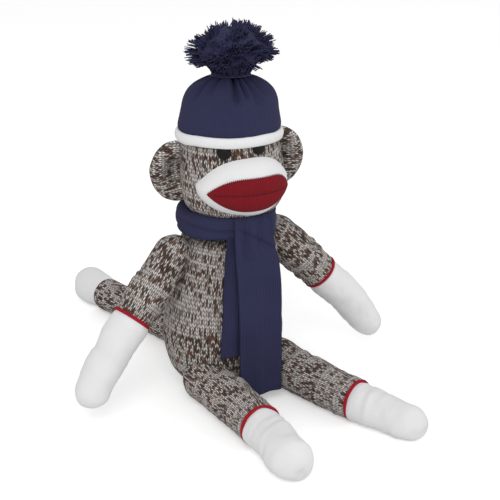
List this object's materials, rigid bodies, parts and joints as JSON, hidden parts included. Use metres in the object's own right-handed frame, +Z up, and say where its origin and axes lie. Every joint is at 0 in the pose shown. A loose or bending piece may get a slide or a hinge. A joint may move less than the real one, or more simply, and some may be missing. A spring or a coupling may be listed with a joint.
{
  "type": "sock monkey doll",
  "caption": "Stuffed knitted monkey doll, sitting, with a cap, a scarf, and a head, arms, legs and tail that turn at their seams.",
  "frame": {"origin": "on the floor, at the middle of the body's seat", "axes": "+Z up, the doll faces -Y, +X towards the doll's left hand"},
  "size_m": [0.3272, 0.4406, 0.3414],
  "materials": {
    "ragg_knit": "marled brown and grey ragg knit",
    "white_knit": "fine white jersey knit",
    "red_knit": "fine red rib knit",
    "navy_knit": "navy rib knit",
    "navy_yarn": "loose navy yarn",
    "black_felt": "black embroidered felt",
    "stuffing": "polyester fibre"
  },
  "bodies": {
    "torso": {"torso_cover": "ragg_knit", "torso_filling": "stuffing", "scarf_wrap": "navy_knit"},
    "neck": {"neck_stuffing": "ragg_knit", "neck_thread": "navy_yarn"},
    "head": {"head_cover": "ragg_knit", "head_filling": "stuffing", "muzzle_cover": "white_knit", "muzzle_filling": "stuffing", "lips": "red_knit", "mouth_stitch": "red_knit", "right_eye": "black_felt", "left_eye": "black_felt", "right_ear": "ragg_knit", "left_ear": "ragg_knit", "hat_crown": "navy_knit", "hat_cuff": "white_knit", "pompom": "navy_yarn", "pompom_tie": "navy_yarn"},
    "right_arm": {"right_arm_cover": "ragg_knit", "right_hand": "white_knit", "right_arm_filling": "stuffing", "right_wrist_band": "red_knit"},
    "left_arm": {"left_arm_cover": "ragg_knit", "left_hand": "white_knit", "left_arm_filling": "stuffing", "left_wrist_band": "red_knit"},
    "right_leg": {"right_leg_cover": "ragg_knit", "right_foot": "white_knit", "right_leg_filling": "stuffing", "right_ankle_band": "red_knit"},
    "left_leg": {"left_leg_cover": "ragg_knit", "left_foot": "white_knit", "left_leg_filling": "stuffing", "left_ankle_band": "red_knit"},
    "tail": {"tail_cover": "ragg_knit", "tail_tip": "white_knit", "tail_filling": "stuffing"},
    "scarf_ends": {"scarf_front_end": "navy_knit", "scarf_back_end": "navy_knit"}
  },
  "joints": [
    {"name": "neck_turn", "type": "hinge", "parent": "torso", "child": "neck", "pos_m": [0.0032, -0.005, 0.1565], "axis": [0, 0, 1], "range_deg": [-50, 60]},
    {"name": "head_nod", "type": "hinge", "parent": "neck", "child": "head", "pos_m": [0.0032, -0.005, 0.21025], "axis": [-0.9781, 0.2079, 0], "range_deg": [0, 20]},
    {"name": "right_arm_swing", "type": "hinge", "parent": "torso", "child": "right_arm", "pos_m": [-0.053, 0, 0.1357], "axis": [-1, 0, 0], "range_deg": [-45, 130]},
    {"name": "left_arm_swing", "type": "hinge", "parent": "torso", "child": "left_arm", "pos_m": [0.053, 0, 0.1357], "axis": [-1, 0, 0], "range_deg": [-45, 130]},
    {"name": "right_leg_swing", "type": "hinge", "parent": "torso", "child": "right_leg", "pos_m": [-0.036, -0.028, 0.0213], "axis": [0.9996, 0.0279, 0], "range_deg": [-10, 90]},
    {"name": "left_leg_swing", "type": "hinge", "parent": "torso", "child": "left_leg", "pos_m": [0.036, -0.028, 0.0213], "axis": [0.969, 0.247, 0], "range_deg": [-10, 90]},
    {"name": "tail_swing", "type": "hinge", "parent": "torso", "child": "tail", "pos_m": [0.003, 0.04, 0.016], "axis": [0, 0, 1], "range_deg": [-40, 40]},
    {"name": "scarf_lift", "type": "hinge", "parent": "torso", "child": "scarf_ends", "pos_m": [0, -0.04864, 0.16152], "axis": [-1, 0, 0], "range_deg": [0, 75]}
  ]
}
